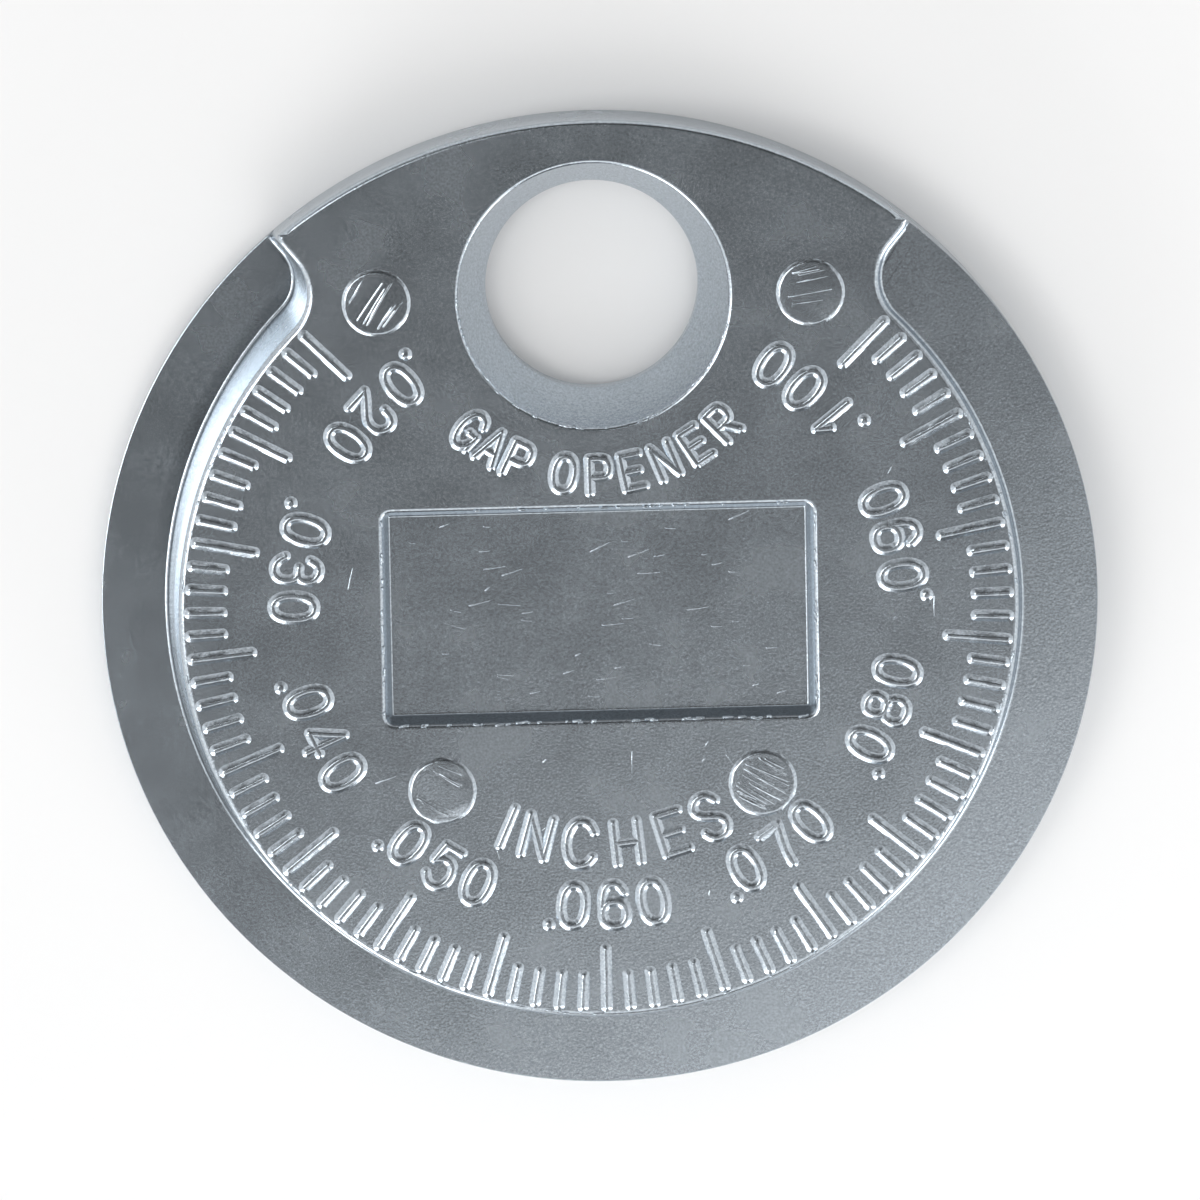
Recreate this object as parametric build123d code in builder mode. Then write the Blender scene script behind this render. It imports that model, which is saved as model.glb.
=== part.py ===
"""Coin-shaped gauge for the electrode gap of a spark plug: one zinc die casting. Sizes are in millimetres.

The gauge lies on its plain back at Z = 0, with the dial facing +Z and the key ring hole towards +Y. Its rim
is the measuring part: a ramp that winds round the dial and thickens evenly, so that the place where the rim
just fills the gap between the electrodes is read off against the raised marks beside it.
"""

import os
from math import atan, cos, degrees, hypot, radians, sin, tan

from build123d import *

inch = 25.4

# Scale: a mark for each thousandth of an inch, spread evenly and centred on the side opposite the hole
thin_gap = 0.020 * inch
thick_gap = 0.100 * inch
mark_step = 0.001 * inch
scale_angle = 270.0
steps_per_long_mark = 5

# Coin blank: the dial stands a small step above the thick end of the scale, and the side of the disc leans
# in towards the back, so that the casting leaves its die
disc_diameter = 35.0
rim_draft = 5.0
dial_step = 0.36
dial_edge_break = 0.2
back_edge_break = 0.12

# Ramp pocket: sunk from the dial side, open at the rim, and run on a little past both ends of the scale
shoulder_diameter = 29.3
shoulder_draft = 10.0
pocket_foot_break = 0.12
pocket_corner_rounding = 1.9
ramp_run_on = 6.0

# Marks: ridges with sloping flanks and a blunt nose, which end just inside the shoulder
mark_end_inset = 0.13
long_mark_length = 2.55
short_mark_length = 1.6
mark_width = 0.42
mark_height = 0.14
mark_flank_angle = 44.0
mark_nose_share = 0.6

# Hole for the key ring: dished from the dial side down to a thin lip that can bend an electrode outwards
hole_diameter = 7.4
dish_diameter = 9.5
dish_to_rim = 1.5
lip_height = 0.5
hole_back_chamfer = 0.5

# Panel sunk into the middle of the dial, with walls that lean well out
panel_length = 15.1
panel_width = 7.7
panel_height = -0.15
panel_depth = 0.6
panel_corner_round = 0.35
panel_draft = 25.0

# Ejector pin marks: low round pads with sloping sides, left by pins that stop a little short in the die
pin_diameter = 2.4
pin_pad_height = 0.08
pin_pad_flank = 0.1
upper_pin_spacing = 15.1
upper_pin_height = 11.2
lower_pin_spacing = 11.2
lower_pin_height = -6.35

# Limits: how much of a wall its broken edge and its foot may take up, how much of the ramp's width the
# rounded inner corners may take up, and how far a cut starts outside its wall
largest_break_share = 0.65
largest_foot_share = 0.35
largest_corner_share = 0.7
cut_overrun = 2.0

# Values that follow from those above
disc_radius = disc_diameter / 2
disc_thickness = thick_gap + dial_step
back_radius = disc_radius - disc_thickness * tan(radians(rim_draft))
shoulder_radius = shoulder_diameter / 2
pocket_corner_round = min(pocket_corner_rounding, largest_corner_share * (disc_radius - shoulder_radius))
hole_centre = disc_radius - dish_to_rim - dish_diameter / 2
step_count = round((thick_gap - thin_gap) / mark_step)
scale_start = -90 - scale_angle / 2
ramp_pitch = (thick_gap - thin_gap) * 360 / scale_angle
ramp_angle = scale_angle + 2 * ramp_run_on
ramp_start = scale_start - ramp_run_on
ramp_start_height = thin_gap - ramp_pitch * ramp_run_on / 360
ramp_rise = ramp_pitch * ramp_angle / 360
dish_depth = disc_thickness - hole_back_chamfer - lip_height
dish_angle = 2 * degrees(atan((dish_diameter - hole_diameter) / 2 / dish_depth))

# The lowest wall of the pocket has to carry both the broken edge at its top and the one at its foot
lowest_wall = disc_thickness - ramp_start_height - ramp_rise
dial_break = min(dial_edge_break, largest_break_share * lowest_wall)
foot_break = min(pocket_foot_break, largest_foot_share * lowest_wall)


def on_circle(radius, angle):
    """Point on the dial at a radius and an angle from +X, counted anticlockwise."""
    return (radius * cos(radians(angle)), radius * sin(radians(angle)))


# Everything above the ramp: an upright section of the rim, swept up a helix with the pitch of the scale. It
# starts on +X here and is turned to the start of the ramp when it is used.
with BuildPart() as above_ramp:
    with BuildLine(Plane.XY.offset(ramp_start_height)) as climb:
        Helix(pitch=ramp_pitch, height=ramp_rise, radius=disc_radius)
    with BuildSketch(Plane.XZ):
        with Locations((shoulder_radius - cut_overrun, ramp_start_height)):
            Rectangle(
                disc_radius - shoulder_radius + 2 * cut_overrun,
                disc_thickness,
                align=(Align.MIN, Align.MIN),
            )
    sweep(path=climb.wire(), is_frenet=True)

# The pocket seen from the dial side: a ring left open beside the hole, with drafted walls down to the ramp
with BuildPart() as pocket:
    with BuildSketch(Plane.XY.offset(disc_thickness)) as pocket_plan:
        Circle(disc_radius + cut_overrun)
        Circle(shoulder_radius, mode=Mode.SUBTRACT)
        with BuildLine():
            left_end = Line((0, 0), on_circle(2 * disc_radius, ramp_start))
            right_end = Line((0, 0), on_circle(2 * disc_radius, 180 - ramp_start))
            Line(left_end @ 1, right_end @ 1)
        make_face(mode=Mode.SUBTRACT)
        inner_corners = pocket_plan.vertices().group_by(Axis.Y)[-2]
        fillet(inner_corners, pocket_corner_round)
    extrude(amount=-disc_thickness, taper=shoulder_draft)
    add(above_ramp.part, rotation=(0, 0, ramp_start), mode=Mode.INTERSECT)


def build_mark(length):
    """Ridge on +X that ends just inside the shoulder, rooted below the broken edge there."""
    crest_setback = mark_height * tan(radians(mark_flank_angle))
    with BuildPart() as mark:
        with BuildSketch(Plane.XY.offset(disc_thickness - dial_break)) as mark_plan:
            with Locations((shoulder_radius - mark_end_inset, 0)):
                Rectangle(length, mark_width, align=(Align.MAX, Align.CENTER))
            nose_corners = mark_plan.vertices().group_by(Axis.X)[0]
            chamfer(nose_corners, mark_nose_share * mark_width / 2)
        extrude(amount=mark_height + dial_break)
        crest_edges = mark.edges().group_by(Axis.Z)[-1].sort_by(Axis.X)[:-1]
        chamfer(crest_edges, mark_height, crest_setback)
    return mark.part


def starts_inside_rim(edge):
    """True for an edge that has an end further in than any point of the disc's side."""
    end_distances = [hypot(end.X, end.Y) for end in (edge @ 0, edge @ 1)]
    return min(end_distances) < back_radius


short_mark = build_mark(short_mark_length)
long_mark = build_mark(long_mark_length)

with BuildPart() as gauge_body:
    Cone(back_radius, disc_radius, disc_thickness, align=(Align.CENTER, Align.CENTER, Align.MIN))

    # Ramped rim: the corner at the foot of the shoulder is filled a little, as by a die with stoned edges,
    # and every edge of the dial is broken
    add(pocket.part, mode=Mode.SUBTRACT)
    ramp = gauge_body.faces().filter_by(GeomType.BSPLINE).sort_by(SortBy.AREA)[-1]
    foot = ramp.edges().filter_by(starts_inside_rim)
    chamfer(foot, foot_break)
    dial = gauge_body.faces().sort_by(Axis.Z)[-1]
    chamfer(dial.edges(), dial_break)
    back_edge = gauge_body.edges().group_by(Axis.Z)[0]
    chamfer(back_edge, back_edge_break)

    # Key ring hole
    with Locations((0, hole_centre, disc_thickness)):
        CounterSinkHole(hole_diameter / 2, dish_diameter / 2, counter_sink_angle=dish_angle)
    back_edge_of_hole = gauge_body.edges().filter_by(GeomType.CIRCLE).group_by(Axis.Z)[0].sort_by(Axis.Y)[-1]
    chamfer(back_edge_of_hole, hole_back_chamfer)

    # Sunk panel
    with BuildSketch(Plane.XY.offset(disc_thickness)):
        with Locations((0, panel_height)):
            RectangleRounded(panel_length, panel_width, panel_corner_round)
    extrude(amount=-panel_depth, taper=panel_draft, mode=Mode.SUBTRACT)

    # Ejector pin marks
    for spacing, height in ((upper_pin_spacing, upper_pin_height), (lower_pin_spacing, lower_pin_height)):
        with Locations((-spacing / 2, height, disc_thickness), (spacing / 2, height, disc_thickness)):
            Cone(pin_diameter / 2 + pin_pad_flank, pin_diameter / 2 - pin_pad_flank, 2 * pin_pad_height)

    # Scale: a short mark at every step, and a long one over every fifth
    with PolarLocations(0, step_count + 1, scale_start, scale_angle, endpoint=True):
        add(short_mark)
    with PolarLocations(0, step_count // steps_per_long_mark + 1, scale_start, scale_angle, endpoint=True):
        add(long_mark)

gauge_body.part.label = "gauge_body"
print(f"Gauge body: {gauge_body.part.volume:.0f} cubic millimetres of zinc")

os.makedirs("parts", exist_ok=True)
export_step(gauge_body.part, "parts/gauge_body.step")
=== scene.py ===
# %% [markdown]
# A spark plug gap gauge: a zinc die casting the size of a coin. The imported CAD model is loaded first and
# stays where it is. Everything that is modelled here is built in the same frame, in metres, on top of it.

import math
import random

import bmesh
import bpy
from mathutils import Matrix, Vector


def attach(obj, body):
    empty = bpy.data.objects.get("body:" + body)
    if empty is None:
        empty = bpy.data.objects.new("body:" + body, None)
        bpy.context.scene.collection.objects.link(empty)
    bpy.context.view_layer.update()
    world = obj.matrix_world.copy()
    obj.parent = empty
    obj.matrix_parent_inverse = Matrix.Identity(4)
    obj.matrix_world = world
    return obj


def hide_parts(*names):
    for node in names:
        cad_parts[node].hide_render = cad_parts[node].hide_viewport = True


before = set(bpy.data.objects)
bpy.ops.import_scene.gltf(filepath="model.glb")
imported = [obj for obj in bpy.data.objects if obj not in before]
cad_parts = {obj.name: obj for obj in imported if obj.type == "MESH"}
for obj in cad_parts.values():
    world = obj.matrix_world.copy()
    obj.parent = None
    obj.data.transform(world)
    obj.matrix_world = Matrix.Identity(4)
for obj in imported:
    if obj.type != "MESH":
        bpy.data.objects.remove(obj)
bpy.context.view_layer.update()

# %% [markdown]
# Sizes are written in millimetres, as the part's own drawing would give them, and turned into metres
# where they are used. The scale says how thick the rim is at each mark, from 0.020 to 0.100 inch.

# %% Sizes of the casting
mm = 0.001
inch = 25.4

disc_radius = 17.5
dial_height = 2.9
rim_draft = 5.0
shoulder_radius = 14.65
shoulder_draft = 10.0
pocket_corner_radius = 1.9
thin_gap = 0.020 * inch
thick_gap = 0.100 * inch
scale_angle = 270.0
ramp_run_on = 6.0
ramp_slope = (thick_gap - thin_gap) / scale_angle
pocket_end = (360 - scale_angle) / 2 - ramp_run_on
hole_y = 11.25

# Distances that count as none, in a drawing and in a casting that has been cut
drawing_tolerance = 0.001
cut_tolerance = 0.01
print("the ramp climbs", round(1000 * ramp_slope, 2), "micrometres for each degree")

# %% [markdown]
# Three habits keep operators safe in a script: nothing is selected before a piece is added, faces and
# edges are picked by where they are, and each finished piece has its place in its mesh, with its object
# at the origin.

# %% Helpers for modelling
def select_only(*pieces):
    """Select these objects and nothing else, and make the first one active."""
    bpy.ops.object.select_all(action="DESELECT")
    for piece in pieces:
        piece.select_set(True)
    bpy.context.view_layer.objects.active = pieces[0]


def start_edit(piece):
    """Open a piece for editing with nothing selected."""
    select_only(piece)
    bpy.ops.object.mode_set(mode="EDIT")
    bpy.ops.mesh.select_mode(type="VERT")
    bpy.ops.mesh.select_all(action="DESELECT")


def pick(piece, kind, test):
    """In edit mode, select only the vertices, edges or faces that pass a test, and count them."""
    bpy.ops.mesh.select_mode(type=kind)
    bpy.ops.mesh.select_all(action="DESELECT")
    mesh = bmesh.from_edit_mesh(piece.data)
    parts = {"VERT": mesh.verts, "EDGE": mesh.edges, "FACE": mesh.faces}[kind]
    count = 0
    for part in parts:
        if test(part):
            part.select_set(True)
            count += 1
    mesh.select_flush_mode()
    bmesh.update_edit_mesh(piece.data)
    return count


def end_edit():
    """Close the piece that is being edited."""
    bpy.ops.object.mode_set(mode="OBJECT")


def settle(piece, name):
    """Name a finished piece and move its place, turn and size into its mesh."""
    select_only(piece)
    bpy.ops.object.transform_apply(location=True, rotation=True, scale=True)
    piece.name = name
    piece.data.name = name
    return piece


def apply_modifier(piece, kind, **settings):
    """Add a modifier with its settings and apply it at once."""
    select_only(piece)
    modifier = piece.modifiers.new(kind.lower(), kind)
    for key, value in settings.items():
        setattr(modifier, key, value)
    bpy.ops.object.modifier_apply(modifier=modifier.name)


def cut(piece, tool):
    """Cut one closed piece with another, and remove the tool."""
    apply_modifier(piece, "BOOLEAN", operation="DIFFERENCE", object=tool, solver="EXACT")
    bpy.data.objects.remove(tool)


def start_pen(x, y, z):
    """A piece of one vertex, from which an outline is drawn by spinning and extruding it."""
    bpy.ops.object.select_all(action="DESELECT")
    bpy.ops.mesh.primitive_plane_add(size=mm)
    piece = bpy.context.object
    start_edit(piece)
    bpy.ops.mesh.select_all(action="SELECT")
    bpy.ops.mesh.merge(type="CENTER")
    bpy.ops.transform.translate(value=(x * mm, y * mm, z * mm))
    return piece


def pen_arc(centre, degrees, steps):
    """Turn the pen round an upright axis, clockwise as seen from above."""
    bpy.ops.mesh.spin(steps=steps, angle=math.radians(degrees), axis=(0, 0, 1),
                      center=(centre[0] * mm, centre[1] * mm, 0))


def pen_line(x, y, z=0.0):
    """Draw a straight line that is this long in x, y and z."""
    bpy.ops.mesh.extrude_region_move(TRANSFORM_OT_translate={"value": (x * mm, y * mm, z * mm)})


def radius_of(point):
    """Distance of a point from the axis of the dial, in millimetres."""
    return math.hypot(point.x, point.y) / mm


def compass(radius, degrees):
    """Point at a radius and an angle from +Y, clockwise as seen from above, in millimetres."""
    return (radius * math.sin(math.radians(degrees)), radius * math.cos(math.radians(degrees)))


# %% [markdown]
# The body comes out of a die as one casting. The CAD solid has its true form, but its mesh is a coarse
# one that would show as flats in a shiny rim. So the same form is made again from finer meshes: a blank,
# a ramp that is screwed round it, and the raised dial. First the blank, whose side leans in towards the
# back.

# %% Blank
disc_facets = 360
back_edge_rounding = 0.15
back_radius = disc_radius - dial_height * math.tan(math.radians(rim_draft))
bpy.ops.object.select_all(action="DESELECT")
bpy.ops.mesh.primitive_cone_add(vertices=disc_facets, radius1=back_radius * mm, radius2=disc_radius * mm,
                                depth=dial_height * mm, location=(0, 0, dial_height / 2 * mm),
                                rotation=(0, 0, math.pi / disc_facets))
body = settle(bpy.context.object, "gauge_casting")
start_edit(body)
pick(body, "EDGE", lambda edge: all(vert.co.z < cut_tolerance * mm for vert in edge.verts))
bpy.ops.mesh.bevel(offset=back_edge_rounding * mm, segments=3, affect="EDGES")
end_edit()
print("blank:", len(body.data.vertices), "vertices")

# %% [markdown]
# The ramp is what measures. It climbs evenly, and that is what the Screw modifier makes: an upright
# section of the space above the ramp is turned round the axis while it rises. It starts a little before
# the pocket and ends a little after it, so that its ends stay buried in the dial.

# %% Space above the ramp
ramp_overrun = 3
section_width, section_height, section_middle = 7, 4, 16
ramp_turn = round(scale_angle + 2 * (ramp_run_on + ramp_overrun))
ramp_foot = thin_gap - ramp_slope * (ramp_run_on + ramp_overrun)
bpy.ops.object.select_all(action="DESELECT")
bpy.ops.mesh.primitive_plane_add(size=1, rotation=(math.pi / 2, 0, 0))
above_ramp = bpy.context.object
above_ramp.scale = (section_width * mm, section_height * mm, 1)
above_ramp.location = (section_middle * mm, 0, (ramp_foot + section_height / 2) * mm)
settle(above_ramp, "above_ramp")
apply_modifier(above_ramp, "SCREW", axis="Z", angle=math.radians(ramp_turn), steps=ramp_turn,
               render_steps=ramp_turn, screw_offset=ramp_slope * ramp_turn * mm)
above_ramp.rotation_euler.z = math.radians(90 + pocket_end - ramp_overrun)
settle(above_ramp, "above_ramp")
start_edit(above_ramp)
bpy.ops.mesh.select_non_manifold()
bpy.ops.mesh.edge_face_add()
bpy.ops.mesh.select_all(action="SELECT")
bpy.ops.mesh.normals_make_consistent(inside=False)
end_edit()
print("space above the ramp:", len(above_ramp.data.polygons), "faces over", ramp_turn, "degrees")

# %% [markdown]
# The dial is drawn with a pen that turns round the axis for the shoulder and round two smaller centres
# for the pocket's corners. It is drawn below the disc, where the leaning walls are widest, and inset
# upwards.

# %% Raised dial
draft_run = math.tan(math.radians(shoulder_draft))
shoulder_steps, corner_steps = 269, 16
below, above = 1.0, 1.0
drawn_height = dial_height + below + above
lean = (dial_height + below) * draft_run
corner_distance = shoulder_radius + pocket_corner_radius
corner_half = math.degrees(math.asin(pocket_corner_radius / corner_distance))
corner_angle = pocket_end + corner_half
end_start = math.sqrt(corner_distance ** 2 - pocket_corner_radius ** 2)
end_wall_length = 6.0
start = compass(shoulder_radius + lean, corner_angle)
dial = start_pen(start[0], start[1], -below)
pen_arc((0, 0), 360 - 2 * corner_angle, shoulder_steps)
pen_arc(compass(corner_distance, -corner_angle), -(90 - corner_half), corner_steps)
end_wall = Vector(compass(end_wall_length, -pocket_end))
pen_line(end_wall.x, end_wall.y)
left = Vector(compass(end_start + end_wall_length, -pocket_end)) + Vector(compass(lean, -pocket_end - 90))
pen_line(0, end_wall_length)
pen_line(-2 * left.x, 0)
pen_line(0, -end_wall_length)
pen_line(end_wall.x, -end_wall.y)
pen_arc(compass(corner_distance, corner_angle), -(90 - corner_half), corner_steps)
bpy.ops.mesh.select_all(action="SELECT")
bpy.ops.mesh.remove_doubles(threshold=drawing_tolerance * mm)
bpy.ops.mesh.edge_face_add()
bpy.ops.mesh.normals_make_consistent(inside=False)
bpy.ops.mesh.inset(thickness=drawn_height * draft_run * mm, depth=drawn_height * mm)
pick(dial, "EDGE", lambda edge: edge.is_boundary)
bpy.ops.mesh.edge_face_add()
bpy.ops.mesh.select_all(action="SELECT")
bpy.ops.mesh.normals_make_consistent(inside=False)
end_edit()
settle(dial, "dial")
print("raised dial:", len(dial.data.vertices), "vertices, walls leaning", shoulder_draft, "degrees")

# %% Cut the ramp
cut(above_ramp, dial)
cut(body, above_ramp)
print("casting with its ramp:", len(body.data.vertices), "vertices,", len(body.data.polygons), "faces")

# %% [markdown]
# The key ring hole is turned like on a lathe: a wide dish from the dial side, a thin lip, and a chamfer
# at the back. The panel is a shallow tray with leaning walls.

# %% Hole and panel
hole_radius = 3.7
dish_radius = 4.75
lip_low, lip_high = 0.5, 1.0
hole_facets = 144
tool_overrun = 0.4
dish_flare = (dish_radius - hole_radius) / (dial_height - lip_high)


def lathe_tool(sections, x, y, vertices):
    """A closed tool with a round section at each height, given as pairs of radius and height."""
    radius, low = sections[0]
    bpy.ops.object.select_all(action="DESELECT")
    bpy.ops.mesh.primitive_circle_add(vertices=vertices, radius=radius * mm, fill_type="NGON",
                                      location=(x * mm, y * mm, low * mm))
    tool = bpy.context.object
    bpy.ops.object.mode_set(mode="EDIT")
    bpy.ops.mesh.select_all(action="SELECT")
    for next_radius, high in sections[1:]:
        pen_line(0, 0, high - low)
        grow = next_radius / radius
        bpy.ops.transform.resize(value=(grow, grow, 1), center_override=(x * mm, y * mm, 0))
        radius, low = next_radius, high
    bpy.ops.mesh.select_all(action="SELECT")
    bpy.ops.mesh.normals_make_consistent(inside=False)
    end_edit()
    return settle(tool, "tool")


top_reach = dial_height + tool_overrun
back_chamfer = (hole_radius + lip_low + tool_overrun, -tool_overrun)
hole_tool = lathe_tool([back_chamfer, (hole_radius, lip_low), (hole_radius, lip_high),
                        (dish_radius + tool_overrun * dish_flare, top_reach)], 0, hole_y, hole_facets)
cut(body, hole_tool)

panel_size = Vector((15.1, 7.7))
panel_y = -0.15
panel_depth = 0.6
panel_corner = 0.35
panel_draft = 25.0
panel_flare = math.tan(math.radians(panel_draft))
cut_depth = panel_depth + tool_overrun
cut_size = panel_size + Vector((1, 1)) * 2 * tool_overrun * panel_flare
bpy.ops.object.select_all(action="DESELECT")
bpy.ops.mesh.primitive_plane_add(size=1)
panel_tool = bpy.context.object
panel_tool.scale = (cut_size.x * mm, cut_size.y * mm, 1)
panel_tool.location = (0, panel_y * mm, top_reach * mm)
settle(panel_tool, "tool")
start_edit(panel_tool)
bpy.ops.mesh.select_all(action="SELECT")
bpy.ops.mesh.bevel(offset=(panel_corner + tool_overrun * panel_flare) * mm, segments=6, affect="VERTICES")
bpy.ops.mesh.select_all(action="SELECT")
bpy.ops.mesh.inset(thickness=cut_depth * panel_flare * mm, depth=-cut_depth * mm)
pick(panel_tool, "EDGE", lambda edge: edge.is_boundary)
bpy.ops.mesh.edge_face_add()
bpy.ops.mesh.select_all(action="SELECT")
bpy.ops.mesh.normals_make_consistent(inside=False)
end_edit()
cut(body, panel_tool)
print("casting with its hole and panel:", len(body.data.vertices), "vertices")

# %% [markdown]
# A casting has no sharp edges. The die leaves small radii at the foot of each wall, and tumbling and
# plating break every corner. These light-catching edges are what makes the metal look like metal, so they
# are real geometry. Each set of edges is picked by its place and rounded with its own radius.

# %% Tests that pick edges
sharp_angle = math.radians(25)
dial_start, ramp_start, ramp_end, rim_start = 14.0, 14.3, 17.2, 17.0
lowest_ramp_edge, highest_ramp_edge = 0.3, 2.65
hole_surround = 5.2
panel_surround = Vector((8.0, 4.2))
ring_tolerance = 0.05


def is_sharp(edge):
    """True where two faces meet at a clear angle."""
    return len(edge.link_faces) == 2 and edge.calc_face_angle() > sharp_angle


def middle(edge):
    """Middle of an edge."""
    return (edge.verts[0].co + edge.verts[1].co) / 2


def climbs(edge):
    """Share of an edge's length that goes up."""
    return abs(edge.verts[0].co.z - edge.verts[1].co.z) / max(edge.calc_length(), drawing_tolerance * mm)


def at_dial(edge):
    """True for an edge that lies in the plane of the dial."""
    return all(abs(vert.co.z / mm - dial_height) < cut_tolerance for vert in edge.verts)


def near_hole(edge):
    """Distance of an edge from the axis of the key ring hole, in millimetres."""
    return math.hypot(middle(edge).x, middle(edge).y - hole_y * mm) / mm


def in_panel(edge):
    """True for an edge of the sunk panel."""
    spot = middle(edge) / mm
    return abs(spot.x) < panel_surround.x and abs(spot.y - panel_y) < panel_surround.y


def on_ramp(edge):
    """True for an edge that runs along the ramp, at its height."""
    return climbs(edge) < 0.5 and lowest_ramp_edge < middle(edge).z / mm < highest_ramp_edge


# %% Rounded edges
# Each row has a name, the size of the rounding in millimetres, its steps, and the test that picks its edges
roundings = [
    ("rim corners", 0.3, 4, lambda e: climbs(e) > 0.9 and radius_of(middle(e)) > rim_start),
    ("dial edge", 0.2, 4, lambda e: at_dial(e) and radius_of(middle(e)) > dial_start
        and near_hole(e) > hole_surround),
    ("ramp foot", 0.11, 3, lambda e: on_ramp(e) and ramp_start < radius_of(middle(e)) < ramp_end
        and near_hole(e) > hole_surround),
    ("ramp rim", 0.04, 2, lambda e: on_ramp(e) and radius_of(middle(e)) > ramp_end),
    ("dish edge", 0.1, 3, lambda e: at_dial(e) and abs(near_hole(e) - dish_radius) < ring_tolerance),
    ("lip", 0.08, 3, lambda e: abs(near_hole(e) - hole_radius) < ring_tolerance and climbs(e) < 0.5),
    ("hole back", 0.06, 3, lambda e: middle(e).z / mm < cut_tolerance and near_hole(e) < hole_surround),
    ("panel edge", 0.12, 3, lambda e: at_dial(e) and in_panel(e)),
    ("panel floor", 0.05, 3, lambda e: in_panel(e) and climbs(e) < 0.1
        and middle(e).z / mm < dial_height - panel_depth / 2),
]
most_corners_of_a_rounding = 12
start_edit(body)
bpy.ops.mesh.select_all(action="SELECT")
bpy.ops.mesh.remove_doubles(threshold=cut_tolerance * mm)
bpy.ops.mesh.select_mode(type="FACE")
bpy.ops.mesh.select_all(action="SELECT")
bpy.ops.mesh.mod_weighted_strength(set=True, face_strength="STRONG")
for title, offset, segments, test in roundings:
    found = pick(body, "EDGE", lambda edge: is_sharp(edge) and test(edge))
    bpy.ops.mesh.bevel(offset=offset * mm, segments=segments, profile=0.5, affect="EDGES",
                       clamp_overlap=False)
    bpy.ops.mesh.select_mode(type="FACE")
    for face in bmesh.from_edit_mesh(body.data).faces:
        if len(face.verts) > most_corners_of_a_rounding:
            face.select_set(False)
    bpy.ops.mesh.mod_weighted_strength(set=True, face_strength="WEAK")
    print(title + ":", found, "edges rounded by", offset, "mm")
end_edit()
select_only(body)
bpy.ops.object.shade_smooth_by_angle(angle=math.radians(35))
apply_modifier(body, "WEIGHTED_NORMAL", mode="CORNER_ANGLE", weight=50, keep_sharp=True,
               use_face_influence=True)
print("casting:", len(body.data.vertices), "vertices,", len(body.data.polygons), "faces")

# %% [markdown]
# Every mark of the scale is the groove that a tapered cutter left in the die, so it stands up as a ridge
# with sloping flanks and round ends. One short and one long mark are shaped from a circle that is pulled
# out to a slot and inset upwards. They are then copied round the dial, a long one at every fifth step.

# %% Marks of the scale
ridge_section = [(0.25, -0.04), (0.225, -0.004), (0.205, 0.01), (0.079, 0.118), (0.055, 0.13),
                 (0.03, 0.132)]
mark_outer_end = 14.52
short_length, long_length = 1.6, 2.55
mark_facets, shortest_side, cuts_per_mm = 24, 0.5, 5
step_count, steps_per_long_mark = 80, 5


def raise_ridge(sections):
    """Inset the selected face step by step, so that it rises with this section: half widths and heights."""
    for (width, low), (next_width, high) in zip(sections, sections[1:]):
        bpy.ops.mesh.inset(thickness=(width - next_width) * mm, depth=(high - low) * mm)


def make_mark(name, length):
    """A mark that points in from the shoulder along -Y, standing on the dial at the top of the scale."""
    width, low = ridge_section[0]
    outer = mark_outer_end - width
    bpy.ops.object.select_all(action="DESELECT")
    bpy.ops.mesh.primitive_circle_add(vertices=mark_facets, radius=width * mm, fill_type="NGON",
                                      location=(0, outer * mm, (dial_height + low) * mm))
    mark = settle(bpy.context.object, name)
    start_edit(mark)
    pick(mark, "VERT", lambda vert: vert.co.y < (outer - drawing_tolerance) * mm)
    bpy.ops.transform.translate(value=(0, -(length - 2 * width) * mm, 0))
    bpy.ops.mesh.select_mode(type="FACE")
    bpy.ops.mesh.select_all(action="SELECT")
    raise_ridge(ridge_section)
    pick(mark, "EDGE", lambda edge: edge.calc_length() > shortest_side * mm)
    bpy.ops.mesh.subdivide(number_cuts=round(cuts_per_mm * length))
    end_edit()
    return mark


def copy_to(piece, name, turn=0.0, shift=(0.0, 0.0)):
    """A copy with its own mesh, turned in degrees about the origin and then shifted in millimetres."""
    copy = piece.copy()
    copy.data = piece.data.copy()
    bpy.context.collection.objects.link(copy)
    copy.rotation_euler.z = math.radians(turn)
    copy.location = (shift[0] * mm, shift[1] * mm, 0)
    return settle(copy, name)


def join(pieces, name):
    """Join pieces into one."""
    select_only(*pieces)
    bpy.ops.object.join()
    return settle(bpy.context.object, name)


def roughen(piece, amount, seed):
    """Move the vertices above the dial a little at random, in millimetres, and shade the piece smooth."""
    start_edit(piece)
    pick(piece, "VERT", lambda vert: vert.co.z > (dial_height + drawing_tolerance) * mm)
    bpy.ops.transform.vertex_random(offset=amount * mm, uniform=0.6, seed=seed)
    end_edit()
    select_only(piece)
    bpy.ops.object.shade_smooth_by_angle(angle=math.radians(60))


short_mark = make_mark("short_mark", short_length)
long_mark = make_mark("long_mark", long_length)
marks = []
for step in range(step_count + 1):
    pattern = long_mark if step % steps_per_long_mark == 0 else short_mark
    marks.append(copy_to(pattern, "mark", turn=180 + scale_angle / 2 - step * scale_angle / step_count))
for pattern in (short_mark, long_mark):
    bpy.data.objects.remove(pattern)
scale_marks = join(marks, "scale_marks")
roughen(scale_marks, amount=0.005, seed=3)
print("scale:", len(marks), "marks,", len(scale_marks.data.polygons), "faces")

# %% [markdown]
# Figures and letters were cut into the die with the same kind of cutter, one stroke at a time. Each
# stroke is drawn here with the pen along its middle, rounded where it bends, and given the section of the
# cutter.

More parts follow.
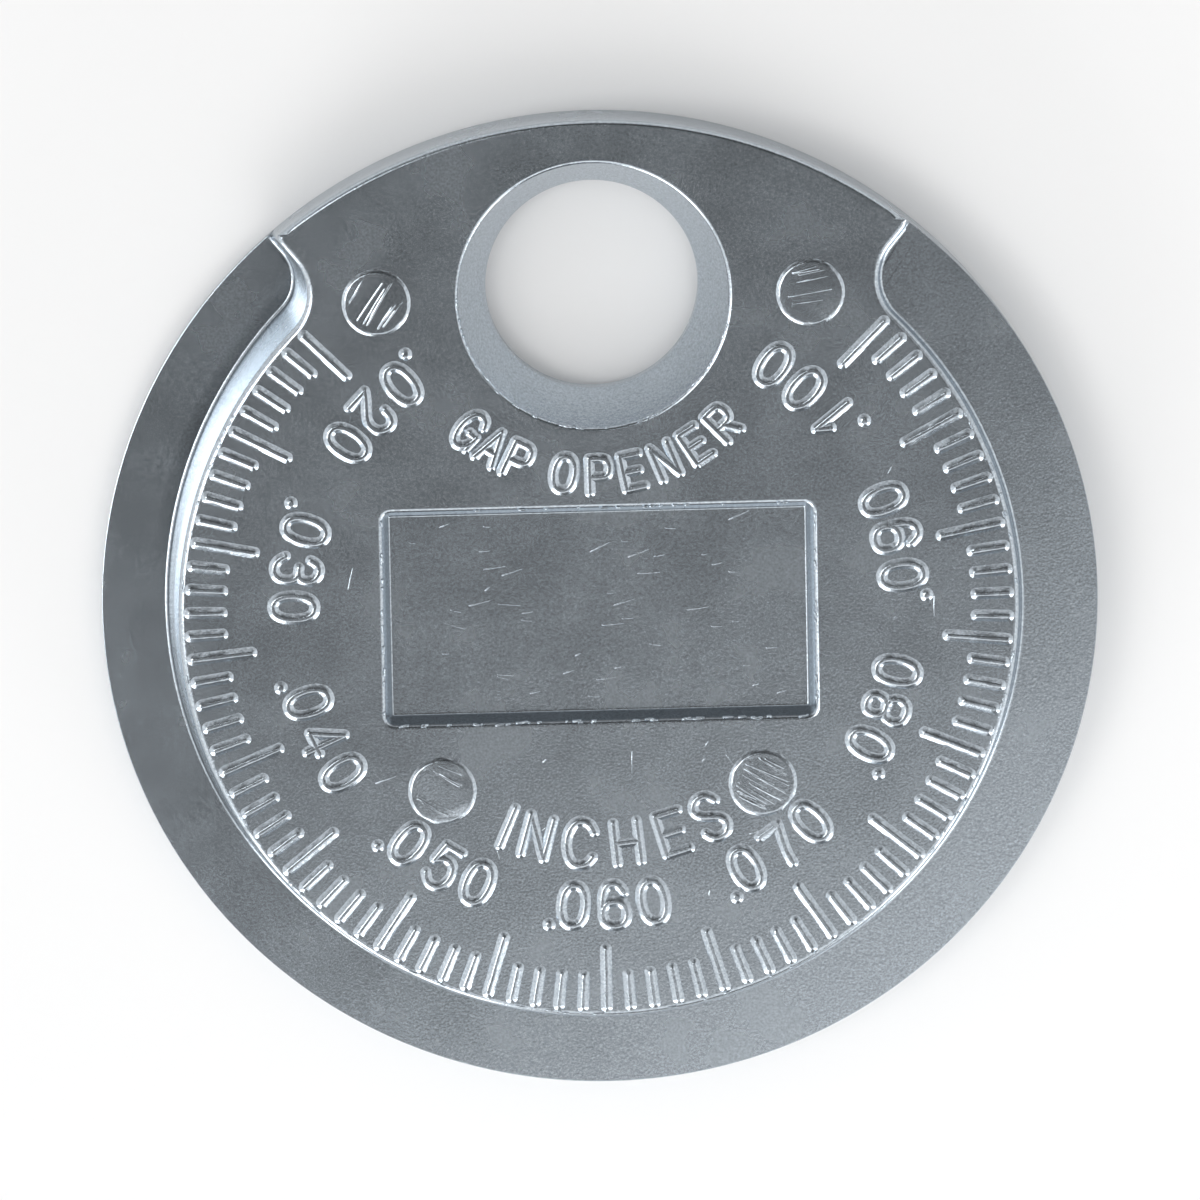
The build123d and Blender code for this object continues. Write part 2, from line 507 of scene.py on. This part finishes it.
# %% Strokes of the figures and letters
stroke_section = [(0.235, -0.04), (0.207, -0.004), (0.187, 0.01), (0.077, 0.104), (0.055, 0.114),
                  (0.03, 0.116)]
bpy.ops.object.select_all(action="DESELECT")
bpy.ops.mesh.primitive_circle_add(vertices=2 * len(stroke_section), radius=mm)
cutter = bpy.context.object
bpy.ops.object.convert(target="CURVE")
cutter_outline = stroke_section + [(-width, height) for width, height in reversed(stroke_section)]
for point, (width, height) in zip(cutter.data.splines[0].points, cutter_outline):
    point.co = (width * mm, height * mm, 0, 1)

# The round ends are a touch narrower and lower than their stroke, and each stroke of a figure is a touch
# lower than the one before, so that no two faces share a place
end_share, end_drop, stroke_drop = 0.99, 0.001, 0.002
end_facets, dot_facets, dot_extra = 20, 12, 0.045


def make_stroke(points, rounded, closed, drop):
    """One stroke through points in millimetres, with the cutter's section and round open ends."""
    x, y = points[0]
    stroke = start_pen(x, y, dial_height - drop)
    for next_x, next_y in points[1:] + (points[:1] if closed else []):
        pen_line(next_x - x, next_y - y)
        x, y = next_x, next_y
    bpy.ops.mesh.select_all(action="SELECT")
    bpy.ops.mesh.remove_doubles(threshold=drawing_tolerance * mm)
    end_edit()
    if rounded:
        apply_modifier(stroke, "SUBSURF", levels=3, render_levels=3)
    select_only(stroke)
    bpy.ops.object.convert(target="CURVE")
    stroke = bpy.context.object
    stroke.data.twist_mode = "Z_UP"
    stroke.data.bevel_mode = "OBJECT"
    stroke.data.bevel_object = cutter
    bpy.ops.object.convert(target="MESH")
    parts = [bpy.context.object]
    if not closed:
        for end_x, end_y in (points[0], points[-1]):
            low = dial_height - drop - end_drop
            end = [(width * end_share, low + height) for width, height in stroke_section]
            parts.append(lathe_tool(end, end_x, end_y, end_facets))
    return parts


def oval(x, y, width, height):
    """Control points that a rounded closed stroke follows as an oval of this size."""
    return [(x + width * a, y + height * b) for a, b in
            ((0.26, 0.52), (0.52, 0.24), (0.52, -0.24), (0.26, -0.52),
             (-0.26, -0.52), (-0.52, -0.24), (-0.52, 0.24), (-0.26, 0.52))]


line, bend, loop = (False, False), (True, False), (True, True)
glyph_strokes = {
    "0": [(loop, oval(0, 0, 1, 1))],
    "1": [(line, [(0.08, -0.5), (0.08, 0.5)]), (line, [(0.08, 0.5), (-0.3, 0.2)])],
    "2": [(bend, [(-0.45, 0.18), (-0.42, 0.46), (-0.05, 0.58), (0.45, 0.46), (0.52, 0.1), (0.1, -0.14),
                  (-0.3, -0.36), (-0.48, -0.5)]), (line, [(-0.48, -0.5), (0.5, -0.5)])],
    "3": [(bend, [(-0.46, 0.3), (-0.3, 0.54), (0.15, 0.56), (0.5, 0.38), (0.42, 0.06), (-0.08, 0.05)]),
          (bend, [(-0.08, 0.05), (0.4, 0.06), (0.58, -0.24), (0.4, -0.54), (-0.2, -0.57), (-0.5, -0.32)])],
    "4": [(line, [(0.2, 0.5), (-0.5, -0.24)]), (line, [(-0.5, -0.24), (0.5, -0.24)]),
          (line, [(0.2, 0.5), (0.2, -0.5)])],
    "5": [(line, [(-0.32, 0.5), (0.45, 0.5)]), (line, [(-0.32, 0.5), (-0.44, 0.04)]),
          (bend, [(-0.44, 0.04), (-0.1, 0.2), (0.4, 0.17), (0.6, -0.2), (0.35, -0.56), (-0.2, -0.57),
                  (-0.48, -0.34)])],
    "6": [(loop, oval(0, -0.2, 1, 0.6)),
          (bend, [(-0.5, -0.2), (-0.52, 0.2), (-0.34, 0.56), (0.2, 0.57), (0.44, 0.32)])],
    "7": [(line, [(-0.48, 0.5), (0.48, 0.5)]),
          (bend, [(0.48, 0.5), (0.2, 0.08), (0.05, -0.2), (0.0, -0.5)])],
    "8": [(loop, oval(0, 0.26, 0.82, 0.48)), (loop, oval(0, -0.24, 1, 0.52))],
    "9": [(loop, oval(0, 0.2, 1, 0.6)),
          (bend, [(0.5, 0.2), (0.52, -0.2), (0.34, -0.56), (-0.2, -0.57), (-0.44, -0.32)])],
    "A": [(line, [(-0.5, -0.5), (0, 0.5)]), (line, [(0, 0.5), (0.5, -0.5)]),
          (line, [(-0.3, -0.14), (0.3, -0.14)])],
    "C": [(bend, [(0.5, 0.3), (0.3, 0.54), (-0.28, 0.58), (-0.56, 0.2), (-0.56, -0.2), (-0.28, -0.58),
                  (0.3, -0.54), (0.5, -0.32)])],
    "E": [(line, [(-0.45, -0.5), (-0.45, 0.5)]), (line, [(-0.45, 0.5), (0.48, 0.5)]),
          (line, [(-0.45, 0), (0.36, 0)]), (line, [(-0.45, -0.5), (0.48, -0.5)])],
    "G": [(bend, [(0.45, 0.3), (0.28, 0.55), (-0.3, 0.58), (-0.56, 0.2), (-0.56, -0.2), (-0.3, -0.58),
                  (0.2, -0.56), (0.46, -0.3), (0.48, -0.06)]), (line, [(0.48, -0.06), (0.05, -0.06)]),
          (line, [(0.48, -0.06), (0.48, -0.5)])],
    "H": [(line, [(-0.46, -0.5), (-0.46, 0.5)]), (line, [(0.46, -0.5), (0.46, 0.5)]),
          (line, [(-0.46, 0), (0.46, 0)])],
    "I": [(line, [(0, -0.5), (0, 0.5)])],
    "N": [(line, [(-0.46, -0.5), (-0.46, 0.5)]), (line, [(-0.46, 0.5), (0.46, -0.5)]),
          (line, [(0.46, -0.5), (0.46, 0.5)])],
    "O": [(loop, oval(0, 0, 1.02, 1))],
    "P": [(line, [(-0.44, -0.5), (-0.44, 0.5)]),
          (bend, [(-0.44, 0.5), (0.1, 0.52), (0.58, 0.46), (0.58, -0.02), (0.1, -0.06), (-0.44, -0.04)])],
    "R": [(line, [(-0.44, -0.5), (-0.44, 0.5)]), (line, [(0.0, -0.04), (0.48, -0.5)]),
          (bend, [(-0.44, 0.5), (0.1, 0.52), (0.58, 0.46), (0.58, -0.02), (0.1, -0.06), (-0.44, -0.04)])],
    "S": [(bend, [(0.46, 0.32), (0.25, 0.56), (-0.3, 0.56), (-0.58, 0.27), (-0.2, 0.03), (0.2, -0.03),
                  (0.58, -0.27), (0.3, -0.56), (-0.25, -0.56), (-0.46, -0.32)])],
}


def make_glyph(letter, width, height):
    """One figure or letter round the origin, standing on the dial."""
    parts = []
    for number, ((rounded, closed), points) in enumerate(glyph_strokes[letter]):
        points = [(x * width, y * height) for x, y in points]
        parts += make_stroke(points, rounded, closed, stroke_drop * number)
    return join(parts, "glyph_" + letter)


def make_dot():
    """The point before a figure: a small round stud, a little wider than a stroke."""
    return lathe_tool([(width + dot_extra, dial_height + height) for width, height in stroke_section],
                      0, 0, dot_facets)


figure_width, figure_height = 0.83, 1.44
figure_glyphs = {letter: make_glyph(letter, figure_width, figure_height) for letter in "0123456789"}
figure_glyphs["."] = make_dot()
print("figures drawn:", "".join(figure_glyphs))

# %% [markdown]
# The figures say how thick the rim is at each long mark that they stand by. Their tops point to the
# middle of the dial, so the gauge is turned to read them. The two words say what the hole is for and what
# the figures count.

# %% Place the figures and words
# The point and the three figures stand at these angles from their mark, and at these radii
figure_places = [(9.9, 11.43), (5.9, 10.65), (-1.8, 10.65), (-9.2, 10.65)]
steps_per_figure, first_figure = 10, 20
placed = []
for step in range(0, step_count + 1, steps_per_figure):
    mark_angle = (scale_angle - 360) / 2 - step * scale_angle / step_count
    text = "." + str(first_figure + step).zfill(3)
    for letter, (offset, radius) in zip(text, figure_places):
        angle = mark_angle + offset
        placed.append(copy_to(figure_glyphs[letter], "figure", turn=180 - angle,
                              shift=compass(radius, angle)))
for pattern in figure_glyphs.values():
    bpy.data.objects.remove(pattern)
scale_figures = join(placed, "scale_figures")

hole_word = [("G", 43), ("A", 34.3), ("P", 25.6), ("O", 10.2), ("P", -0.5), ("E", -11.1), ("N", -21.9),
             ("E", -32.6), ("R", -43.4)]
unit_word = [("I", 23.5), ("N", 16.0), ("C", 5.5), ("H", -5.6), ("E", -16.5), ("S", -26.5)]
# Each word has the radius and the centre of its arc, and the width and height of its letters
words = [(hole_word, 6.4, hole_y, 0.7, 1.2), (unit_word, 8.4, 0, 0.9, 1.45)]
placed = []
for word, radius, centre_y, width, height in words:
    for letter, angle in word:
        glyph = make_glyph(letter, width, height)
        x, y = compass(radius, 180 + angle)
        placed.append(copy_to(glyph, "letter", turn=-angle, shift=(x, centre_y + y)))
        bpy.data.objects.remove(glyph)
dial_words = join(placed, "dial_words")
bpy.data.objects.remove(cutter)
for piece, seed in ((scale_figures, 21), (dial_words, 22)):
    roughen(piece, amount=0.004, seed=seed)
    print(piece.name + ":", len(piece.data.polygons), "faces")

# %% [markdown]
# Four pins push the hot casting out of the die. Each stops a little short of the die's face, so it leaves
# a low round pad. The side of a pad is ragged, where metal crept into the gap round the pin, and its top
# keeps the scratches of the pin's turned end.

# %% Pads of the ejector pins
random.seed(11)
# Each pad has its place, and the direction and number of its scratches
pin_places = [(-7.55, 11.2, 58, 8), (7.55, 11.2, 12, 6), (-5.6, -6.35, -28, 10), (5.6, -6.35, -30, 16)]
pad_facets, burr_facets = 96, 12
scratch_spread, scratch_reach = 0.85, 0.95
pad_section = [(1.26, -0.05), (1.2, 0.0), (1.175, 0.012), (1.11, 0.068), (1.08, 0.078), (1.05, 0.08)]
pad_top = dial_height + pad_section[-1][1]
scratch_section = [(0.05, -0.01), (0.036, 0.0), (0.01, 0.007)]


def make_burr(burr_section, length, height):
    """A thin ridge along X with round ends, whose section stands on this height."""
    width, low = burr_section[0]
    bpy.ops.object.select_all(action="DESELECT")
    bpy.ops.mesh.primitive_circle_add(vertices=burr_facets, radius=width * mm, fill_type="NGON")
    burr = bpy.context.object
    burr.location.z = (height + low) * mm
    start_edit(burr)
    for sign in (-1, 1):
        pick(burr, "VERT", lambda vert: sign * vert.co.x > drawing_tolerance * mm)
        bpy.ops.transform.translate(value=(sign * (length / 2 - width) * mm, 0, 0))
    bpy.ops.mesh.select_mode(type="FACE")
    bpy.ops.mesh.select_all(action="SELECT")
    raise_ridge(burr_section)
    end_edit()
    return settle(burr, "burr")


pads = []
for x, y, scratch_angle, scratch_count in pin_places:
    pads.append(lathe_tool([(radius, dial_height + height) for radius, height in pad_section], x, y,
                           pad_facets))
    for _ in range(scratch_count):
        across = random.uniform(-scratch_spread, scratch_spread)
        half_chord = math.sqrt(scratch_reach ** 2 - across ** 2)
        length = random.uniform(0.5, 1.0) * 2 * half_chord
        along = random.uniform(-1, 1) * (half_chord - length / 2)
        angle = scratch_angle + random.uniform(-6, 6)
        step_x, step_y = math.cos(math.radians(angle)), math.sin(math.radians(angle))
        burr = make_burr(scratch_section, length, pad_top)
        pads.append(copy_to(burr, "burr", turn=angle, shift=(x + along * step_x - across * step_y,
                                                            y + along * step_y + across * step_x)))
        bpy.data.objects.remove(burr)
pin_pads = join(pads, "pin_pads")
roughen(pin_pads, amount=0.007, seed=5)
print("pin pads:", len(pin_pads.data.polygons), "faces")

# %% [markdown]
# Liquid zinc creeps into the joints of the die, round the loose block that forms the panel and round the
# core of the hole. Tumbling wears this flash down to a broken line of tiny burrs along the edges, which
# glitter. The floor of the panel and the dial also keep a few hairline scratches of the die.

# %% Burrs along the edges
edge_section = [(0.06, -0.06), (0.05, -0.02), (0.026, 0.014), (0.01, 0.024)]
hairline_section = [(0.03, -0.005), (0.022, 0.0), (0.006, 0.002)]
burr_lengths, hairline_lengths = (0.14, 0.22, 0.34), (0.25, 0.4, 0.8)
floor_height = dial_height - panel_depth
burr_patterns = [make_burr(edge_section, length, dial_height) for length in burr_lengths]
dial_hairlines = [make_burr(hairline_section, length, dial_height) for length in hairline_lengths]
panel_hairlines = [make_burr(hairline_section, length, floor_height) for length in hairline_lengths]
lower_edge_burrs, other_edge_burrs, dish_burrs, shoulder_burrs = 46, 14, 40, 110
half_length, half_width = panel_size.x / 2, panel_size.y / 2
reach_x, reach_y = 7.3, 3.6
burr_places = []
for _ in range(lower_edge_burrs):
    x = random.uniform(-reach_x, reach_x)
    burr_places.append((x, panel_y - half_width + random.uniform(-0.03, 0.05), 0))
for _ in range(other_edge_burrs):
    x = random.uniform(-reach_x, reach_x)
    burr_places.append((x, panel_y + half_width - random.uniform(0.0, 0.04), 0))
    for side in (-half_length, half_length):
        x = side + random.uniform(-0.03, 0.03)
        burr_places.append((x, panel_y + random.uniform(-reach_y, reach_y), 90))
for _ in range(dish_burrs):
    angle = random.uniform(85, 275)
    x, y = compass(dish_radius + random.uniform(-0.04, 0.03), angle)
    burr_places.append((x, hole_y + y, -angle))
for _ in range(shoulder_burrs):
    angle = random.uniform(60, 300)
    x, y = compass(shoulder_radius - 0.12 + random.uniform(-0.06, 0.04), angle)
    burr_places.append((x, y, -angle))

# %% Copies of the burrs and hairlines
panel_hairline_count, dial_hairline_count = 44, 30
floor_reach_x, floor_reach_y = 6.5, 3.3
outside_x, outside_y = 8.5, 4.8
burrs = []
for x, y, angle in burr_places:
    pattern = random.choice(burr_patterns)
    burrs.append(copy_to(pattern, "burr", turn=angle + random.uniform(-9, 9), shift=(x, y)))
for _ in range(panel_hairline_count):
    x = random.uniform(-floor_reach_x, floor_reach_x)
    y = panel_y + random.uniform(-floor_reach_y, floor_reach_y)
    pattern = random.choice(panel_hairlines)
    burrs.append(copy_to(pattern, "hairline", turn=random.gauss(4, 14), shift=(x, y)))
for _ in range(dial_hairline_count):
    x, y = compass(random.uniform(4.5, 12), random.uniform(60, 300))
    if abs(x) > outside_x or abs(y) > outside_y:
        pattern = random.choice(dial_hairlines)
        burrs.append(copy_to(pattern, "hairline", turn=random.uniform(-90, 90), shift=(x, y)))
for pattern in burr_patterns + dial_hairlines + panel_hairlines:
    bpy.data.objects.remove(pattern)
edge_burrs = join(burrs, "edge_burrs")
roughen(edge_burrs, amount=0.006, seed=8)
print("burrs:", len(burr_places), "along the edges,", len(edge_burrs.data.polygons), "faces")

# %% [markdown]
# The zinc is cast, tumbled and plated with a thin grey layer. Plating follows the cast skin, so the metal
# is not a mirror: it has a fine grain of pits and bumps near a tenth of a millimetre and soft clouds. A
# dark colour is painted in as shade at the foot of some walls and on the ramp beside the high shoulder.

# %% Material helpers
def to_linear(code):
    """Turn an sRGB hex colour into the linear values that Blender works in."""
    channels = [int(code[start:start + 2], 16) / 255 for start in (1, 3, 5)]
    linear = [c / 12.92 if c <= 0.04045 else ((c + 0.055) / 1.055) ** 2.4 for c in channels]
    return (*linear, 1.0)


def add_node(tree, kind, inputs=None, **settings):
    """Add a node, set its options, and fill or connect its inputs."""
    node = tree.nodes.new(kind)
    for key, value in settings.items():
        setattr(node, key, value)
    for key, value in (inputs or {}).items():
        if isinstance(value, bpy.types.NodeSocket):
            tree.links.new(value, node.inputs[key])
        else:
            node.inputs[key].default_value = value
    return node


# %% Plated zinc
zinc = bpy.data.materials.new("plated_zinc_satin")
zinc.use_nodes = True
tree = zinc.node_tree
tree.nodes.clear()
coordinates = add_node(tree, "ShaderNodeTexCoord").outputs["Object"]

# Cast grain: pits and bumps about 0.09 mm across and a few thousandths of a millimetre deep, and specks of
# nearly the same size, each a little lighter or darker than its neighbours
grain_per_mm, speck_per_mm, grain_depth = 11, 12, 0.0034
grain = add_node(tree, "ShaderNodeTexNoise", {"Vector": coordinates, "Scale": grain_per_mm / mm,
                                              "Detail": 1.0, "Roughness": 0.5})
grain_bump = add_node(tree, "ShaderNodeBump", {"Height": grain.outputs["Fac"], "Strength": 1.0,
                                               "Distance": grain_depth * mm})
speck = add_node(tree, "ShaderNodeTexNoise", {"Vector": coordinates, "Scale": speck_per_mm / mm,
                                              "Detail": 1.0, "Roughness": 0.6})
# Clouds of the plating, about 3 mm across
clouds_per_mm = 0.35
clouds = add_node(tree, "ShaderNodeTexNoise", {"Vector": coordinates, "Scale": clouds_per_mm / mm,
                                               "Detail": 3.0, "Roughness": 0.6})
tone = add_node(tree, "ShaderNodeMix", {"Factor": speck.outputs["Fac"], 6: to_linear("#90989f"),
                                        7: to_linear("#d1dae2")}, data_type="RGBA")
sheen = add_node(tree, "ShaderNodeMapRange", {"Value": clouds.outputs["Fac"], "From Min": 0.35,
                                              "From Max": 0.65, "To Min": 0.24, "To Max": 0.28})

# Painted shade and painted dark reflections: a dark colour mixed into the metal on the panel's lower wall
# and side walls, along the foot of the high shoulder at the left, and on the ramp beside that shoulder.
# Each place has its strength and a list of limits in millimetres, from where the painted shade starts to
# where it is full.
place = add_node(tree, "ShaderNodeSeparateXYZ", {"Vector": coordinates})
flat = add_node(tree, "ShaderNodeVectorMath", {0: coordinates, 1: (1.0, 1.0, 0.0)}, operation="MULTIPLY")
from_axis = add_node(tree, "ShaderNodeVectorMath", {0: flat.outputs["Vector"]}, operation="LENGTH")
mirrored = add_node(tree, "ShaderNodeMath", {0: place.outputs["X"]}, operation="ABSOLUTE")
right, back, up = place.outputs["X"], place.outputs["Y"], place.outputs["Z"]
outward, sideways = from_axis.outputs["Value"], mirrored.outputs["Value"]
painted_shade_places = [
    (0.65, [(back, -4.03, -3.99), (back, -3.7, -3.76), (sideways, 7.45, 7.3), (up, 2.9, 2.84),
            (up, 2.0, 2.3)]),
    (0.4, [(sideways, 7.25, 7.28), (sideways, 7.48, 7.4), (back, -3.8, -3.7), (back, 3.7, 3.6),
           (up, 2.0, 2.3)]),
    (0.6, [(outward, 14.78, 14.84), (outward, 15.06, 15.0), (right, -8.0, -10.0), (back, -11.0, -7.0),
           (back, 5.5, 2.5)]),
    (0.45, [(outward, 15.02, 15.14), (outward, 15.7, 15.2), (right, -8.0, -9.0), (back, 0.0, 6.0),
            (up, 1.2, 1.0)]),
]
colour = tone.outputs[2]
# Each place builds a mask of painted shade from its limits and mixes a dark colour into the metal there
for painted_shade, limits in painted_shade_places:
    for value, start, end in limits:
        border = add_node(tree, "ShaderNodeMapRange", {"Value": value, "From Min": start * mm,
                                                       "From Max": end * mm})
        painted_shade = add_node(tree, "ShaderNodeMath", {0: border.outputs["Result"], 1: painted_shade},
                        operation="MULTIPLY").outputs["Value"]
    colour = add_node(tree, "ShaderNodeMix", {"Factor": painted_shade, 6: colour, 7: to_linear("#1c1d1e")},
                      data_type="RGBA").outputs[2]
metal = add_node(tree, "ShaderNodeBsdfPrincipled", {"Base Color": colour, "Metallic": 1.0,
                                                    "Roughness": sheen.outputs["Result"],
                                                    "Normal": grain_bump.outputs["Normal"]})
add_node(tree, "ShaderNodeOutputMaterial", {"Surface": metal.outputs["BSDF"]})
for piece in (body, scale_marks, scale_figures, dial_words, pin_pads, edge_burrs):
    piece.data.materials.clear()
    piece.data.materials.append(zinc)
    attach(piece, "root")
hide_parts("gauge_body")
print("material:", zinc.name)

# %% [markdown]
# The gauge lies on its back on a plain white table, as on a sheet of card in a studio.

# %% Table
table_width, table_gap = 4.0, 0.01
bpy.ops.object.select_all(action="DESELECT")
bpy.ops.mesh.primitive_plane_add(size=table_width, location=(0, 0, -table_gap * mm))
floor = settle(bpy.context.object, "table")
card = bpy.data.materials.new("white_card_matte")
card.use_nodes = True
card.node_tree.nodes.clear()
card_shader = add_node(card.node_tree, "ShaderNodeBsdfPrincipled",
                       {"Base Color": to_linear("#f6f6f6"), "Roughness": 0.9, "Specular IOR Level": 0.1})
add_node(card.node_tree, "ShaderNodeOutputMaterial", {"Surface": card_shader.outputs["BSDF"]})
floor.data.materials.append(card)
print("table:", round(floor.dimensions.x, 1), "m wide")

# %% [markdown]
# Metal shows its surroundings. The photograph was taken in a light tent: bright sides, a darker roof that
# the flat dial reflects, a dark gap in front, and a bright panel high at the left that the high shoulder
# mirrors. Two softboxes stand low in front, and a small one hangs closer, in front of the gauge and above
# it.

# %% Light tent
world = bpy.data.worlds.new("light_tent")
bpy.context.scene.world = world
world.use_nodes = True
tent = world.node_tree
tent.nodes.clear()
direction = add_node(tent, "ShaderNodeTexCoord").outputs["Generated"]
split = add_node(tent, "ShaderNodeSeparateXYZ", {"Vector": direction})

# The walls of the tent, a little darker behind the gauge, and the slope of its roof, a little darker in front
walls = add_node(tent, "ShaderNodeMapRange",
                 {"Value": split.outputs["Y"], "From Min": -0.5, "From Max": 0.9,
                  "To Min": 1.2, "To Max": 0.9}, interpolation_type="SMOOTHSTEP")
slope = add_node(tent, "ShaderNodeMapRange",
                 {"Value": split.outputs["Y"], "From Min": -0.8, "From Max": -0.3,
                  "To Min": 1.05, "To Max": 1.3}, interpolation_type="SMOOTHSTEP")
wall_share = add_node(tent, "ShaderNodeMapRange",
                      {"Value": split.outputs["Z"], "From Min": 0.5, "From Max": 0.32},
                      interpolation_type="SMOOTHSTEP")
light = add_node(tent, "ShaderNodeMix", {"Factor": wall_share.outputs["Result"],
                                         2: slope.outputs["Result"],
                                         3: walls.outputs["Result"]}).outputs[0]

# Round regions with soft borders: the dark gap in front, the dim roof that the dial mirrors, and a bright
# panel high at the left. Each has its direction, the cosines of its outer and inner border, and its
# brightness.
regions = [((0.22, -0.97, 0.05), 0.90, 0.96, 0.03), ((0.04, -0.24, 0.97), 0.72, 0.93, 0.13),
           ((-0.51, 0.12, 0.85), 0.93, 0.975, 8.0)]
for centre, outer, inner, brightness in regions:
    facing = add_node(tent, "ShaderNodeVectorMath", {0: direction, 1: Vector(centre).normalized()},
                      operation="DOT_PRODUCT")
    share = add_node(tent, "ShaderNodeMapRange", {"Value": facing.outputs["Value"], "From Min": outer,
                                                  "From Max": inner}, interpolation_type="SMOOTHSTEP")
    light = add_node(tent, "ShaderNodeMix", {"Factor": share.outputs["Result"], 2: light,
                                             3: brightness}).outputs[0]

# The roof behind the gauge stays dark
rear_brightness = 0.03
rear_share = add_node(tent, "ShaderNodeMapRange",
                      {"Value": split.outputs["Y"], "From Min": 0.0, "From Max": 0.4},
                      interpolation_type="SMOOTHSTEP")
roof_share = add_node(tent, "ShaderNodeMapRange",
                      {"Value": split.outputs["Z"], "From Min": 0.46, "From Max": 0.58},
                      interpolation_type="SMOOTHSTEP")
rear_roof = add_node(tent, "ShaderNodeMath", {0: rear_share.outputs["Result"],
                                              1: roof_share.outputs["Result"]}, operation="MULTIPLY")
light = add_node(tent, "ShaderNodeMix", {"Factor": rear_roof.outputs["Value"], 2: light,
                                         3: rear_brightness}).outputs[0]

# The table is lit evenly, as by the whole tent, and only the metal mirrors its parts
table_brightness = 0.72
path = add_node(tent, "ShaderNodeLightPath")
light = add_node(tent, "ShaderNodeMix", {"Factor": path.outputs["Is Diffuse Ray"], 2: light,
                                         3: table_brightness}).outputs[0]
background = add_node(tent, "ShaderNodeBackground", {"Color": light})
add_node(tent, "ShaderNodeOutputWorld", {"Surface": background.outputs["Background"]})
print("light tent:", len(tent.nodes), "nodes,", len(regions), "round regions")

# %% Softboxes
def add_softbox(name, azimuth, elevation, distance, width, height, brightness):
    """A softbox that faces the gauge, placed by its direction in degrees, as bright as a mirror shows it."""
    light = bpy.data.lights.new(name, "AREA")
    light.shape = "RECTANGLE"
    light.size, light.size_y = width, height
    light.energy = brightness * math.pi * width * height
    lamp = bpy.data.objects.new(name, light)
    bpy.context.collection.objects.link(lamp)
    toward = Vector((math.cos(math.radians(azimuth)) * math.cos(math.radians(elevation)),
                     math.sin(math.radians(azimuth)) * math.cos(math.radians(elevation)),
                     math.sin(math.radians(elevation))))
    lamp.location = distance * toward
    lamp.rotation_euler = toward.to_track_quat("Z", "Y").to_euler()


# Each has its azimuth and elevation, its distance and size in metres, and its brightness
softboxes = [
    ("front_left", 242, 10, 0.5, 0.28, 0.18, 7.0),
    ("front_right", 313, 8, 0.5, 0.22, 0.14, 6.0),
    ("roof_panel", 287, 52, 0.13, 0.10, 0.08, 1.0),
]
for softbox in softboxes:
    add_softbox(*softbox)
print("lights:", [item.name for item in bpy.data.lights])

# %% [markdown]
# A long lens from almost overhead, as in the photograph. It stands a little towards the side of the key
# ring hole, so a thin strip of the rim shows there and the whole scale can be read.

# %% Camera
dial_centre = Vector((0, 0, dial_height * mm))
tilt, camera_azimuth, roll, camera_distance = 14.0, 96.0, 1.1, 0.8
sensor_width, focal_length = 36.0, 688.5
frame_pixels = 1200
centre_pixel = Vector((599.3, 610.4))
toward_camera = Vector((math.sin(math.radians(tilt)) * math.cos(math.radians(camera_azimuth)),
                        math.sin(math.radians(tilt)) * math.sin(math.radians(camera_azimuth)),
                        math.cos(math.radians(tilt))))
lens = bpy.data.cameras.new("camera")
lens.sensor_width = sensor_width
lens.lens = focal_length
lens.shift_x = (frame_pixels / 2 - centre_pixel.x) / frame_pixels
lens.shift_y = (centre_pixel.y - frame_pixels / 2) / frame_pixels
camera = bpy.data.objects.new("camera", lens)
bpy.context.collection.objects.link(camera)
bpy.context.scene.camera = camera
camera_right = Vector((0, 1, 0)).cross(toward_camera).normalized()
camera_up = toward_camera.cross(camera_right)
camera_turn = Matrix((camera_right, camera_up, toward_camera)).transposed().to_4x4()
camera_turn = camera_turn @ Matrix.Rotation(math.radians(-roll), 4, "Z")
camera_place = Matrix.Translation(dial_centre + camera_distance * toward_camera)
camera.matrix_world = camera_place @ camera_turn
bpy.context.scene.view_settings.view_transform = "Standard"
print("camera at", [round(value, 3) for value in camera.location])
